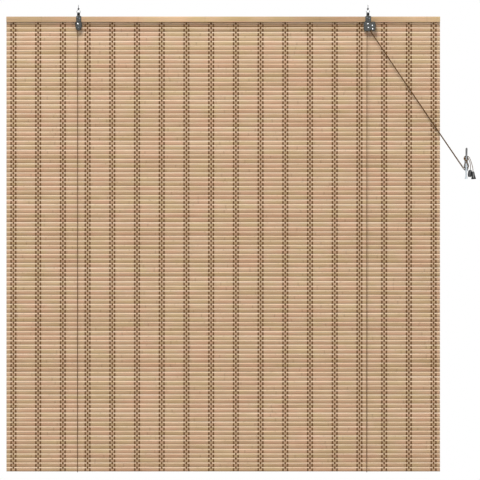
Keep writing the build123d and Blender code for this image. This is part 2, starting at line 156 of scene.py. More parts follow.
def node(t, kind, **values):
    """A node whose properties and inputs are set by name."""
    n = t.nodes.new("ShaderNode" + kind)
    for key, value in values.items():
        if key in n.inputs:
            n.inputs[key].default_value = value
        else:
            setattr(n, key, value)
    return n


def feed(t, socket, value):
    """Sets a socket to a number or a colour, or links another node's output to it."""
    if isinstance(value, (int, float, tuple)):
        socket.default_value = value
    else:
        t.links.new(value, socket)


def maths(t, operation, *values):
    n = node(t, "Math", operation=operation)
    for socket, value in zip(n.inputs, values):
        feed(t, socket, value)
    return n.outputs[0]


def coordinates(t):
    """The piece's own coordinates at rest, in metres."""
    return node(t, "TexCoord").outputs["Object"]


def split(t, vector):
    """The X, Y and Z of a vector."""
    n = node(t, "SeparateXYZ")
    feed(t, n.inputs[0], vector)
    return n.outputs


def join(t, *parts):
    """A vector made of an X, a Y and a Z."""
    n = node(t, "CombineXYZ")
    for socket, value in zip(n.inputs, parts):
        feed(t, socket, value)
    return n.outputs[0]


def noise(t, vector, scale, detail=3.0, rough=0.5):
    n = node(t, "TexNoise", Scale=scale, Detail=detail, Roughness=rough)
    feed(t, n.inputs["Vector"], vector)
    return n.outputs["Fac"]


def ramp(t, factor, *stops):
    """A colour that changes with factor. Each stop is a place from 0 to 1 and its colour."""
    n = node(t, "ValToRGB")
    marks = n.color_ramp.elements
    while len(marks) < len(stops):
        marks.new(0.5)
    for mark, (place, colour) in zip(marks, stops):
        mark.position = place
        mark.color = colour
    feed(t, n.inputs[0], factor)
    return n.outputs[0]


def blend(t, factor, a, b, way="MIX"):
    """One colour laid over another. The Mix node keeps its colour inputs at places 6 and 7."""
    n = node(t, "Mix", data_type="RGBA", blend_type=way)
    for place, value in ((0, factor), (6, a), (7, b)):
        feed(t, n.inputs[place], value)
    return n.outputs[2]


def bump(t, height, shader, strength, distance):
    n = node(t, "Bump", Strength=strength, Distance=distance)
    feed(t, n.inputs["Height"], height)
    feed(t, shader.inputs["Normal"], n.outputs[0])


def joint_and_painted_light_mark(t):
    """What the mesh marks at its points: bamboo joints, painted shade round the case plates' fronts and on
    the cleat's upper horn, the hooks' dark collars, and painted highlights down the tassels.
    """
    return node(t, "Attribute", attribute_name="joint").outputs["Fac"]


# camera and light

def aim(obj, target):
    obj.rotation_euler = (Vector(target) - obj.location).to_track_quat("-Z", "Y").to_euler()


def camera():
    """A long lens far away, square on to the blind as in the photograph."""
    data = bpy.data.cameras.new("camera")
    data.lens = LENS
    data.sensor_width = SENSOR
    data.clip_end = 200
    cam = add("camera", data)
    middle = at(VIEW_X, 0, VIEW_Z)
    cam.location = middle - Vector((0, VIEW_AWAY * 0.001, 0))
    aim(cam, middle)
    bpy.context.scene.camera = cam


def lamp(name, place, target, size, power):
    data = bpy.data.lights.new(name, "AREA")
    data.shape = "SQUARE"
    data.size = size
    data.energy = power
    obj = add(name, data)
    obj.location = place
    aim(obj, target)


def world(ambient):
    """White to the camera, to mirrors and through glass, and a softer light on everything else."""
    w = bpy.data.worlds.new("studio")
    bpy.context.scene.world = w
    w.use_nodes = True
    t = w.node_tree
    t.nodes.clear()
    path = node(t, "LightPath").outputs
    white = maths(t, "MAXIMUM", path["Is Camera Ray"], path["Is Glossy Ray"])
    white = maths(t, "MAXIMUM", white, path["Is Transmission Ray"])
    light = node(t, "Background", Color=(1, 0.99, 0.975, 1), Strength=ambient)
    seen = node(t, "Background", Color=(1, 1, 1, 1), Strength=1.0)
    mix = node(t, "MixShader")
    for socket, value in zip(mix.inputs, (white, light.outputs[0], seen.outputs[0])):
        feed(t, socket, value)
    out = node(t, "OutputWorld")
    feed(t, out.inputs["Surface"], mix.outputs[0])


BLIND_MIDDLE = (0, 0, -0.8)
camera()
world(ambient=0.27)
lamp("key", (-1.4, -5.0, 5.8), BLIND_MIDDLE, size=2.6, power=620)
lamp("fill", (3.0, -7.0, -0.4), BLIND_MIDDLE, size=4.0, power=60)
lamp("back", (1.5, 6.0, 2.5), BLIND_MIDDLE, size=4.0, power=160)
bpy.context.scene.view_settings.view_transform = "Standard"


# materials

def tree(name):
    """A new material, its node tree and its shader."""
    mat = bpy.data.materials.new(name)
    mat.use_nodes = True
    t = mat.node_tree
    return mat, t, t.nodes["Principled BSDF"]


# tints that a colour is multiplied by
EVEN = (1, 1, 1, 1)
HALF = (0.96, 0.96, 0.96, 1)
# painted shade that a slat's lower edge is multiplied by; HALF is its midway step on a slat
PAINTED_LOWER_SHADE = (0.72, 0.71, 0.7, 1)
PINK = (1.04, 0.965, 0.985, 1)
OLIVE = (0.955, 1.0, 0.9, 1)
GRAIN_DARK = (0.8, 0.79, 0.77, 1)
GRAIN_LIGHT = (1.1, 1.1, 1.1, 1)
SWEEP_DARK = (0.8, 0.78, 0.76, 1)
SWEEP_LIGHT = (1.1, 1.1, 1.1, 1)

# slow change of tone along the battens, in metres
SWEEP_AT = 0.375
SWEEP_LONG = 0.968

# rows are counted from so many pitches above the mat, which keeps their numbers above zero
ROWS_ABOVE = 1000


def bamboo(name, low, mid, high, painted_edge_shade, start, roughness, hue=0.5, sweep=False):
    """Split bamboo: each row has its own tone, long streaks of fibre, and darker joints marked on the mesh.

    Rows are counted down from start, in mm above the first stick's middle. With sweep the tone swells and
    fades slowly along the piece. painted_edge_shade is painted shade towards each row's lower edge, where a
    slat's front turns down away from the light above.
    """
    mat, t, shader = tree(name)
    x, y, z = split(t, coordinates(t))
    top = (FIRST_STICK_Z - LINTEL_Z + start + ROWS_ABOVE * PITCH) * 0.001
    run = maths(t, "DIVIDE", maths(t, "SUBTRACT", top, z), PITCH * 0.001)
    row = maths(t, "FLOOR", run)
    across = maths(t, "FRACT", run)

    # each row's own tone, and how it drifts along the row
    own = node(t, "TexWhiteNoise", noise_dimensions="1D")
    feed(t, own.inputs["W"], row)
    drift = noise(t, join(t, maths(t, "MULTIPLY", x, 6.5), maths(t, "MULTIPLY", row, 7.7), 0), 1.0, 2.0)
    tone = maths(t, "MULTIPLY", own.outputs["Value"], 0.45)
    tone = maths(t, "ADD", tone, maths(t, "MULTIPLY", drift, 0.75))
    tone = maths(t, "SUBTRACT", tone, 0.1)
    colour = ramp(t, tone, (0.15, low), (0.5, mid), (0.85, high))
    patch = noise(t, join(t, maths(t, "MULTIPLY", x, 8.3), maths(t, "MULTIPLY", row, 3.3), 5.0), 1.0, 1.0)
    tint = ramp(t, patch, (0.36, PINK), (0.5, EVEN), (0.64, OLIVE))
    colour = blend(t, hue, colour, tint, "MULTIPLY")

    # long fibres, and painted shade towards a row's lower edge, where a slat's front turns down from the
    # light
    strands = join(t, maths(t, "MULTIPLY", x, 5), maths(t, "MULTIPLY", y, 700), maths(t, "MULTIPLY", z, 700))
    fibre = noise(t, strands, 1.0, 4.0, 0.6)
    colour = blend(t, 1.0, colour, ramp(t, fibre, (0.3, GRAIN_DARK), (0.7, GRAIN_LIGHT)), "MULTIPLY")
    painted_shade = ramp(t, across, (0.25, EVEN), (0.5, HALF), (0.82, painted_edge_shade))
    colour = blend(t, 1.0, colour, painted_shade, "MULTIPLY")
    if sweep:
        turn = maths(t, "MULTIPLY", maths(t, "ADD", x, SWEEP_AT), math.tau / SWEEP_LONG)
        wave = maths(t, "ADD", maths(t, "MULTIPLY", maths(t, "SINE", turn), 0.5), 0.5)
        swell = ramp(t, wave, (0.0, SWEEP_DARK), (1.0, SWEEP_LIGHT))
        colour = blend(t, 1.0, colour, swell, "MULTIPLY")
    colour = blend(t, maths(t, "MULTIPLY", joint_and_painted_light_mark(t), 0.45), colour, linear(120, 92, 60))
    feed(t, shader.inputs["Base Color"], colour)
    shader.inputs["Roughness"].default_value = roughness
    shader.inputs["Specular IOR Level"].default_value = 0.3
    bump(t, fibre, shader, 0.35, 0.0002)
    return mat


def yarn(name, colour, light, scale):
    """Twisted yarn: slanted plies with lighter fibre on top."""
    mat, t, shader = tree(name)
    x, y, z = split(t, coordinates(t))
    across = maths(t, "MULTIPLY", maths(t, "ADD", x, y), scale)
    slant = join(t, across, 0, maths(t, "MULTIPLY", z, scale * 0.8))
    ply = node(t, "TexWave", Scale=1.0, Distortion=1.5, Detail=2.0, bands_direction="DIAGONAL")
    feed(t, ply.inputs["Vector"], slant)
    feed(t, shader.inputs["Base Color"], ramp(t, ply.outputs["Fac"], (0.1, colour), (0.9, light)))
    shader.inputs["Roughness"].default_value = 0.85
    shader.inputs["Specular IOR Level"].default_value = 0.15
    bump(t, ply.outputs["Fac"], shader, 0.6, 0.0004)
    return mat


# how often a metal's spots and brush lines come, to the metre
SPOTS = 360.0
BRUSH_ACROSS = 2700.0
BRUSH_ALONG = 180.0


def metal(name, colour, worn, roughness, rim=None):
    """Pressed or turned metal, finely brushed and a little worn. The rim colour goes where the mesh marks:
    painted shade round the case plates' fronts and on the cleat's upper horn, and the hooks' dark collars.
    """
    mat, t, shader = tree(name)
    vector = coordinates(t)
    x, y, z = split(t, vector)
    spots = noise(t, vector, SPOTS, 4.0, 0.65)
    lines = join(t, maths(t, "MULTIPLY", x, BRUSH_ACROSS), y, maths(t, "MULTIPLY", z, BRUSH_ALONG))
    brush = noise(t, lines, 1.0, 2.0)
    tone = ramp(t, spots, (0.35, colour), (0.75, worn))
    if rim:
        tone = blend(t, maths(t, "POWER", joint_and_painted_light_mark(t), 0.7), tone, rim)
    feed(t, shader.inputs["Base Color"], tone)
    rough = node(t, "MapRange")
    rough.inputs["To Min"].default_value = roughness * 0.8
    rough.inputs["To Max"].default_value = roughness * 1.25
    feed(t, rough.inputs["Value"], brush)
    feed(t, shader.inputs["Roughness"], rough.outputs["Result"])
    shader.inputs["Metallic"].default_value = 1.0
    bump(t, brush, shader, 0.15, 0.0001)
    return mat


def moulded(name, colour, light, roughness, painted_highlight=None):
    """Moulded plastic with a faint mottle. The painted highlight colour goes where the mesh marks it."""
    mat, t, shader = tree(name)
    spots = noise(t, coordinates(t), 700.0, 3.0)
    tone = ramp(t, spots, (0.3, colour), (0.8, light))
    if painted_highlight:
        tone = blend(t, joint_and_painted_light_mark(t), tone, painted_highlight)
    feed(t, shader.inputs["Base Color"], tone)
    shader.inputs["Roughness"].default_value = roughness
    shader.inputs["Specular IOR Level"].default_value = 0.12
    bump(t, spots, shader, 0.1, 0.0001)
    return mat


SLAT_TONES = linear(174, 141, 107), linear(189, 156, 123), linear(202, 170, 137)
STICK_TONES = linear(229, 195, 158), linear(239, 210, 177), linear(246, 221, 192)
BATTEN_TONES = linear(172, 138, 98), linear(193, 161, 123), linear(209, 178, 142)
# the slats carry painted shade towards each one's lower edge
SLAT = bamboo("split_bamboo", *SLAT_TONES, painted_edge_shade=PAINTED_LOWER_SHADE, start=0, roughness=0.5, hue=1.0)
STICK = bamboo("bamboo_stick", *STICK_TONES, painted_edge_shade=EVEN, start=PITCH / 2, roughness=0.4)
BATTEN = bamboo("bamboo_batten", *BATTEN_TONES, painted_edge_shade=EVEN, start=-8, roughness=0.45, hue=1.0, sweep=True)
WARP = yarn("warp_yarn", linear(90, 60, 32), linear(130, 94, 58), 1500)
CORD = yarn("cord_yarn", linear(84, 58, 30), linear(122, 92, 56), 1400)
# the case plates' last colour is painted shade round the rims of their fronts
STEEL = metal("dark_steel", linear(60, 62, 61), linear(97, 98, 96), 0.42, linear(22, 23, 22))
ZINC = metal("zinc_steel", linear(222, 224, 228), linear(244, 245, 247), 0.25)
DULL = metal("dull_zinc", linear(100, 104, 108), linear(136, 140, 144), 0.4)
CHROME = metal("bright_chrome", linear(138, 140, 144), linear(182, 184, 188), 0.18, linear(56, 57, 60))
# the cleat's last colour is painted shade on its upper horn
CLEAT = metal("cleat_steel", linear(170, 178, 183), linear(196, 202, 206), 0.3, linear(100, 100, 100))
NYLON = moulded("sheave_nylon", linear(38, 38, 40), linear(58, 58, 60), 0.45)
RUBBER = moulded("bush_rubber", linear(4, 4, 4), linear(10, 10, 10), 0.8)
# black tassels; the last colour is a painted highlight laid down their fronts
TASSEL = moulded("black_tassel", linear(6, 6, 7), linear(12, 12, 13), 0.45, linear(146, 146, 146))


# mesh helpers

class Shape:
    """Collects vertices and faces in mm of the rail frame."""

    def __init__(self):
        self.points = []
        self.faces = []
        self.marks = []

    def mark(self, value):
        """Gives one mark to all points that have none yet."""
        self.marks.extend([value] * (len(self.points) - len(self.marks)))

    def loft(self, rings):
        """Joins rings of like length into a closed skin with flat ends."""
        start = len(self.points)
        size = len(rings[0])
        for ring in rings:
            self.points.extend(ring)
        for i in range(len(rings) - 1):
            a, b = start + i * size, start + (i + 1) * size
            for k in range(size):
                n = (k + 1) % size
                self.faces.append((a + k, a + n, b + n, b + k))
        self.faces.append(tuple(range(start + size - 1, start - 1, -1)))
        last = start + (len(rings) - 1) * size
        self.faces.append(tuple(range(last, last + size)))

    def make(self, name, body, material, slot, smooth=35):
        """The finished piece, riding its body. Edges sharper than smooth, in degrees, stay sharp."""
        mesh = bpy.data.meshes.new(name)
        mesh.from_pydata([at(*p) for p in self.points], [], self.faces)
        work = bmesh.new()
        work.from_mesh(mesh)
        bmesh.ops.recalc_face_normals(work, faces=work.faces)
        work.to_mesh(mesh)
        work.free()
        if self.marks:
            self.mark(0.0)
            mesh.attributes.new("joint", "FLOAT", "POINT").data.foreach_set("value", self.marks)
        mesh.materials.append(material)
        obj = add(name, mesh)
        mesh.shade_smooth()
        if smooth:
            mesh.set_sharp_from_angle(angle=math.radians(smooth))
        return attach(obj, body)


def rounded(half_x, half_z, r, steps=5):
    """A rectangle with round corners."""
    points = []
    for cx, cz, start in ((1, 1, 0), (-1, 1, 90), (-1, -1, 180), (1, -1, 270)):
        for k in range(steps + 1):
            a = math.radians(start + 90 * k / steps)
            points.append((cx * (half_x - r) + r * math.cos(a), cz * (half_z - r) + r * math.sin(a)))
    return points


# the mat

def stick_z(number):
    """The height of a stick's middle. Number 0 is the first whole stick, and higher numbers hang lower."""
    return FIRST_STICK_Z - PITCH * number


# a slat's section, as its depth in mm and its height as a share of half the slat's height
SLAT_OUTLINE = [
    (-0.55, 1.0), (-0.95, 0.85), (-1.25, 0.45), (-1.35, 0.0), (-1.25, -0.45), (-0.95, -0.85), (-0.55, -1.0),
    (0.95, -0.98), (0.95, 0.98),
]

# each slat and stick has its own seed
SLAT_SEED = 1000
STICK_SEED = 5000

# how far the first joint is from a length's end, and each further one from the last
FIRST_JOINT = (20, 330)
JOINT_GAP = (230, 400)
LAST_CLEAR = 12
# even places along a length of bamboo, and how near to a joint one is left out
EVEN_PLACES = 15
JOINT_CLEAR = 8
# a joint's places along the length, from its middle, and how much of it shows there
JOINT_SHAPE = [(-3.5, 0.0), (-1.2, 0.5), (0, 1.0), (1.2, 0.5), (3.5, 0.0)]


def stations(rng):
    """Places along a length of bamboo, close together at each joint. Each is an X and the joint's mark."""
    joints = []
    x = -BLIND_WIDTH / 2 + rng.uniform(*FIRST_JOINT)
    while x < BLIND_WIDTH / 2 - LAST_CLEAR:
        joints.append(x)
        x = x + rng.uniform(*JOINT_GAP)
    spots = [(-BLIND_WIDTH / 2 + BLIND_WIDTH * i / EVEN_PLACES, 0.0) for i in range(EVEN_PLACES + 1)]
    spots = [spot for spot in spots if all(abs(spot[0] - joint) > JOINT_CLEAR for joint in joints)]
    for joint in joints:
        spots.extend([(joint + away, mark) for away, mark in JOINT_SHAPE])
    return sorted(spots)


def slat(shape, number, z_high, z_low):
    """One split slat under stick number, a little uneven along its length."""
    rng = random.Random(SLAT_SEED + number)
    half = (z_high - z_low) / 2
    middle = (z_high + z_low) / 2
    phase = rng.uniform(0, 6.28)
    rings = []
    for x, mark in stations(rng):
        lift = 0.05 * math.sin(x / 170 + phase) + 0.04 * math.sin(x / 61 + 2 * phase)
        push = 0.1 * math.sin(x / 230 + 3 * phase)
        rings.append([(x, y * (1 + 0.12 * mark) + push, middle + lift + z * half) for y, z in SLAT_OUTLINE])
        shape.marks.extend([mark] * len(SLAT_OUTLINE))
    shape.loft(rings)


def rod(shape, number, sides=12):
    """One round stick, a little uneven along its length."""
    rng = random.Random(STICK_SEED + number)
    phase = rng.uniform(0, 6.28)
    z_mid = stick_z(number)
    rings = []
    for x, mark in stations(rng):
        r = STICK_R - 0.08 + 0.05 * math.sin(x / 90 + phase) + 0.1 * mark
        lift = 0.05 * math.sin(x / 140 + 2 * phase)
        ring = []
        for k in range(sides):
            a = 2 * math.pi * (k + 0.5) / sides
            ring.append((x, r * math.cos(a), z_mid + lift + r * math.sin(a)))
        rings.append(ring)
        shape.marks.extend([0.5 * mark] * sides)
    shape.loft(rings)


# a warp thread's thickness, outwards and inwards
WARP_OUT = 0.42
WARP_IN = 0.25
# Its way past a stick and a slat. Each place is a depth, the distance from the stick's middle and half the
# thread's width. The first is on the stick, the second where it dives between the two, the third on the slat.
OVER_STICKS = [(-STICK_R - WARP_IN, 1.6, 2.9), (-1.8, 3.4, 1.9), (1.35, 4.7, 1.2)]
OVER_SLATS = [(STICK_R + WARP_IN, 1.6, 1.3), (-0.9, 2.6, 1.8), (-1.75, 4.0, 2.6)]


def warp_path(first, count, way, z_start, z_end):
    """The places of one warp thread in one stretch of mat, from the top down."""
    on_y, on_z, on_half = way[0]
    path = []
    for number in range(first, first + count):
        z_mid = stick_z(number)
        path.append((on_y, z_mid + on_z, on_half))
        path.extend([(y, z_mid - down, half) for y, down, half in way])
        path.extend([(y, z_mid - PITCH + up, half) for y, up, half in way[:0:-1]])
    path = [place for place in path if z_end <= place[1] <= z_start]

    # On a hinge stick the thread goes over from one stretch to the next. In front the upper one runs on under
    # the lower one, so that no gap opens in the roll, and behind they meet at the stick's middle.
    top = stick_z(first)
    if z_start > top and way is OVER_SLATS:
        path[0] = (on_y, top, on_half)
    tail = stick_z(first + count)
    if tail > z_end:
        path.append((on_y, tail + on_z, on_half))
        path.append((on_y, tail, on_half) if way is OVER_SLATS else (on_y + 0.3, tail - 1.2, 2.6))
    return path


def warp(shape, x, path):
    """Adds a warp thread that follows a path, flat outside and with a low ridge inside."""
    rings = []
    for i, (y, z, half) in enumerate(path):
        before = path[max(i - 1, 0)]
        after = path[min(i + 1, len(path) - 1)]
        dy, dz = after[0] - before[0], after[1] - before[1]
        long = math.hypot(dy, dz)
        ny, nz = dz / long, -dy / long
        flat = 0.6 * half
        section = [(-half, 0.0), (-flat, WARP_OUT), (flat, WARP_OUT), (half, 0.0), (0.0, -WARP_IN)]
        rings.append([(x + u, y + ny * v, z + nz * v) for u, v in section])
    shape.loft(rings)


def hang_mat():
    """The mat's stretches, from the one that hangs from the battens to the hem."""
    first = -1
    for place, count in enumerate([TOP_STICKS + 1] + STRETCHES):
        body = "blind_head" if place == 0 else "mat_%02d" % place
        slats, sticks, warps = Shape(), Shape(), Shape()
        for number in range(first, first + count):
            rod(sticks, number)
            z_high = stick_z(number) - PITCH / 2 + SLAT_HALF
            z_low = max(stick_z(number) - PITCH / 2 - SLAT_HALF, HEM_Z)
            slat(slats, number, z_high, z_low)
        if place == 0:
            slat(slats, first - 1, *TOP_SLAT)
        z_start = WARP_TOP_Z if place == 0 else stick_z(first) + HINGE_LAP
        z_end = HEM_Z + 0.5
        for n in range(LADDERS):
            x = LADDER_FIRST_X + LADDER_PITCH * n
            for side, way in ((-1, OVER_SLATS), (0, OVER_STICKS), (1, OVER_SLATS)):
                warp(warps, x + side * WARP_OFFSET, warp_path(first, count, way, z_start, z_end))
        name = "mat_top" if place == 0 else body
        piece = slats.make("slats_%02d" % place, body, SLAT, "bamboo")
        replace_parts(piece, name)
        sticks.make("sticks_%02d" % place, body, STICK, "bamboo", 60)
        piece = warps.make("warps_%02d" % place, body, WARP, "warp_yarn", 0)
        if place == 0:
            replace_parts(piece, "warp_threads")
        first = first + count


hang_mat()


# battens

def batten(name, replaced, y_near, y_far, seed):
    """A bamboo batten with rounded edges and a few raised joints."""
    outline = rounded(abs(y_near - y_far) / 2, BATTEN_HALF_Z, BATTEN_EDGE_R, 3)
    middle = (y_near + y_far) / 2
    shape = Shape()
    rings = []
    for x, mark in stations(random.Random(seed)):
        grow = 1 + 0.012 * mark
        rings.append([(x, middle + y * grow, BATTEN_MID_Z + z * grow) for y, z in outline])
        shape.marks.extend([0.4 * mark] * len(outline))
    shape.loft(rings)
    piece = shape.make(name, "blind_head", BATTEN, "batten_wood", 40)
    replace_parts(piece, replaced)


batten("front_batten", "head_rail", -BATTEN_NEAR, -BATTEN_FAR, 71)
batten("back_batten", "rear_batten", BATTEN_NEAR, BATTEN_FAR, 72)


# turned parts and hardware

# how narrow a turned body's painted highlight is, where along the axis it is full, and what is left of it
# beyond
PAINTED_HIGHLIGHT_POWER = 14
PAINTED_HIGHLIGHT_FROM = -1.5
PAINTED_HIGHLIGHT_TO = -22
PAINTED_HIGHLIGHT_FAINT = 0.15


def revolve(shape, profile, centre, axis, sides=24, lean=0.0, painted_highlight=0.0):
    """Adds a turned body. The profile is a list of radius and distance along the axis from the centre.

    It leans about the centre, in degrees towards +X at its lower end, and painted_highlight marks a painted
    highlight down its front.
    """
    rings = []
    turn = math.radians(lean)
    for r, d in profile:
        ring = []
        for k in range(sides):
            a = 2 * math.pi * (k + 0.5) / sides
            u, v = r * math.cos(a), r * math.sin(a)
            if axis == "Y":
                ring.append((centre[0] + u, centre[1] + d, centre[2] + v))
            else:
                x = u * math.cos(turn) - d * math.sin(turn)
                z = u * math.sin(turn) + d * math.cos(turn)
                ring.append((centre[0] + x, centre[1] + v, centre[2] + z))
            # a painted highlight down the front, faint beyond its stretch of the axis
            if painted_highlight:
                share = 1.0 if PAINTED_HIGHLIGHT_TO <= d <= PAINTED_HIGHLIGHT_FROM else PAINTED_HIGHLIGHT_FAINT
                shape.marks.append(painted_highlight * max(0.0, -math.sin(a)) ** PAINTED_HIGHLIGHT_POWER * share)
        rings.append(ring)
    shape.loft(rings)


def rivet(shape, x, z, y_front, radius=2.5):
    """A rivet through both plates of a pulley, with a domed and dimpled head in front of y_front."""
    seat = y_front - PLATE_T
    head = [(radius, 0), (radius, -0.3), (radius * 0.88, -0.75), (radius * 0.6, -1.05), (radius * 0.32, -1.1)]
    profile = [(1.3, BATTEN_FRONT_Y - 0.1 - seat), (1.3, 0.02)] + head + [(radius * 0.22, -0.85), (0.1, -0.8)]
    revolve(shape, profile, (x, seat, z), "Y")


# the cross recess of a screw's head: half an arm's width and its length, as shares of the head's radius, and
# the angle it is turned by
CROSS_HALF = 0.15
CROSS_ARM = 0.54
CROSS_TURN = 0.35


def cross_reach(a, radius):
    """How far the outline of the cross recess is from the screw's axis at an angle."""
    c, s = abs(math.cos(a)), abs(math.sin(a))
    return radius * min(CROSS_ARM / max(c, s), CROSS_HALF / max(min(c, s), 0.001))


def screw(shape, x, z, seat, away, long, shank, radius, tall):
    """A pan head screw along Y with a cross recess and a ridged shank. Away is the way the head faces."""
    profile = [(0.3, -long)]
    for n in range(int((long - 2) / 1.2)):
        profile.extend([(shank * 0.8, -long + 1.2 + 1.2 * n), (shank, -long + 1.8 + 1.2 * n)])
    profile.extend([(shank * 0.85, -0.05), (radius, 0), (radius, 0.25 * tall), (radius * 0.92, 0.6 * tall)])
    profile.extend([(radius * 0.75, 0.85 * tall), (0.66 * radius, 0.92 * tall)])
    corner = math.degrees(math.atan2(CROSS_HALF, CROSS_ARM))
    angles = [math.radians(90 * n + a) for n in range(4) for a in (0, corner, 30, 45, 60, 90 - corner)]
    outlines = [([r] * len(angles), d) for r, d in profile]
    # the recess starts in the head's top and narrows a little towards its floor
    for share, d in ((1.0, 0.95 * tall), (0.88, 0.45 * tall)):
        outlines.append(([cross_reach(a, radius) * share for a in angles], d))
    rings = []
    for reaches, d in outlines:
        ring = []
        for a, reach in zip(angles, reaches):
            turned = a + CROSS_TURN
            ring.append((x + reach * math.cos(turned), seat + away * d, z + reach * math.sin(turned)))
        rings.append(ring)
    shape.loft(rings)


# the least area in square metres of a plate's front that gets a rim of painted shade
SMALLEST_FRONT = 3e-5


def softened(name, body, material, edge, rim=0.0):
    """A piece with a CAD node's shape, rounded edges, and a rim round its front that the mesh marks for
    painted shade.
    """
    source = frame["nodes"][name]
    mesh = source.data.copy()
    mesh.transform(source.matrix_world)
    mesh.name = name + "_finished"
    work = bmesh.new()
    work.from_mesh(mesh)
    bmesh.ops.remove_doubles(work, verts=work.verts, dist=1e-6)
    bmesh.ops.dissolve_limit(work, angle_limit=math.radians(1), verts=work.verts, edges=work.edges)
    mark = work.verts.layers.float.new("joint")
    if rim:
        fronts = [f for f in work.faces if f.normal.y < -0.99 and f.calc_area() > SMALLEST_FRONT]
        wide = rim * 0.001
        bmesh.ops.inset_region(work, faces=fronts, thickness=wide, use_even_offset=True, use_boundary=True)
        inside = {v for face in fronts for v in face.verts}
        for vert in work.verts:
            vert[mark] = 0.0 if vert in inside else 1.0
    sharp = [e for e in work.edges if len(e.link_faces) == 2 and e.calc_face_angle() > math.radians(28)]
    bmesh.ops.bevel(
        work, geom=sharp, offset=edge * 0.001, segments=2, affect="EDGES", clamp_overlap=True, profile=0.5
    )
    bmesh.ops.recalc_face_normals(work, faces=work.faces)
    work.to_mesh(mesh)
    work.free()
    mesh.materials.clear()
    mesh.materials.append(material)
    mesh.shade_smooth()
    mesh.set_sharp_from_angle(angle=math.radians(32))
    obj = add(name + "_finished", mesh)
    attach(obj, body)
    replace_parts(obj, name)


# the ceiling hooks' loops: middle, radius, wire, turn about Z, and the angles one starts at and goes through
LOOP_Z = 15.2
LOOP_R = 6.4
WIRE_R = 1.25
LOOP_YAW = math.radians(28)
LOOP_FROM = 90
LOOP_THROUGH = 310
LOOP_STEPS = 30
# the collar above the loop's middle and the bush round the eye's rim, as radius and distance along the axis
COLLAR = [
    (1.2, 5.9), (2.3, 6.1), (2.6, 6.6), (2.6, 8.8), (3.3, 9.2),
    (3.5, 9.6), (3.5, 11.2), (3.2, 11.5), (1.2, 11.5),
]
BUSH = [
    (1.0, 1.8), (3.2, 1.8), (4.0, 1.4), (4.2, 0.8), (3.1, 0.62),
    (3.1, -0.62), (4.2, -0.8), (4.0, -1.4), (3.2, -1.8), (1.0, -1.8),
]


def hook(side, x):
    """A ceiling hook: threaded shank, dark collar, and an open loop through the pulley's eye and its bush."""
    y = PLATE_FRONT_Y + PLATE_T / 2
    shape = Shape()
    rings = []
    for n in range(LOOP_STEPS + 1):
        a = math.radians(LOOP_FROM + LOOP_THROUGH * n / LOOP_STEPS)
        wire = WIRE_R * (1.0 if n < LOOP_STEPS - 1 else 0.7)
        ring = []
        for k in range(10):
            b = 2 * math.pi * k / 10
            r = LOOP_R + wire * math.cos(b)
            flat = r * math.cos(a)
            deep = wire * math.sin(b)
            across = flat * math.cos(LOOP_YAW) - deep * math.sin(LOOP_YAW)
            out = flat * math.sin(LOOP_YAW) + deep * math.cos(LOOP_YAW)
            ring.append((x + across, y + out, LOOP_Z + r * math.sin(a)))
        rings.append(ring)
    shape.loft(rings)
    shank = [(1.15, 5.2), (1.2, 9.5)]
    for n in range(9):
        shank.extend([(1.1, 11.6 + 1.25 * n), (1.5, 12.2 + 1.25 * n)])
    revolve(shape, shank + [(0.9, 22.9), (0.2, 23.6)], (x, y, LOOP_Z), "Z", 12)
    shape.mark(0.0)
    revolve(shape, COLLAR, (x, y, LOOP_Z), "Z", 24)
    shape.mark(1.0)
    piece = shape.make(side + "_hook", "blind_head", CHROME, "bright_chrome", 40)
    bush = Shape()
    revolve(bush, BUSH, (x, y, EYE_Z), "Y")
    bush.make(side + "_bush", "blind_head", RUBBER, "nylon", 40)
    return piece


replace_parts(hook("left", -HOOK_X), "screw_hooks")
hook("right", HOOK_X)

# rim is the width in mm of the painted shade round each plate's front
softened("left_case_back", "blind_head", STEEL, edge=0.3, rim=0.7)
softened("left_case_cover", "blind_head", STEEL, edge=0.35, rim=2.4)
softened("lock_case_back", "blind_head", STEEL, edge=0.3, rim=0.7)
softened("lock_case_cover", "blind_head", STEEL, edge=0.35, rim=1.6)
softened("lock_cam", "lock_cam", ZINC, edge=0.25)

# the domed heads in front of the pulley and the lock: X, Z and the face they sit on
HEADS = {
    "left_axle": [(LEFT_AXLE_X, AXLE_Z, LEFT_FRONT_Y)],
    "left_rivet": [(LEFT_AXLE_X - 2.3, AXLE_Z + 12.4, LEFT_FRONT_Y)],
    "lock_axle": [(RIGHT_AXLE_X, AXLE_Z, RIGHT_FRONT_Y)],
    "lock_pins": [
        (RIGHT_AXLE_X - 2.5, AXLE_Z + 12.8, RIGHT_FRONT_Y),
        (RIGHT_AXLE_X + 14.8, AXLE_Z - 5.0, RIGHT_FRONT_Y),
        (RIGHT_AXLE_X + 13.6, AXLE_Z + 7.1, RIGHT_FRONT_Y),
    ],
}
for node_name, spots in HEADS.items():
    made = Shape()
    for spot in spots:
        rivet(made, *spot)
    finish = DULL if node_name == "left_axle" else ZINC
    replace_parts(made.make(node_name + "_domed", "blind_head", finish, "zinc_steel", 50), node_name)

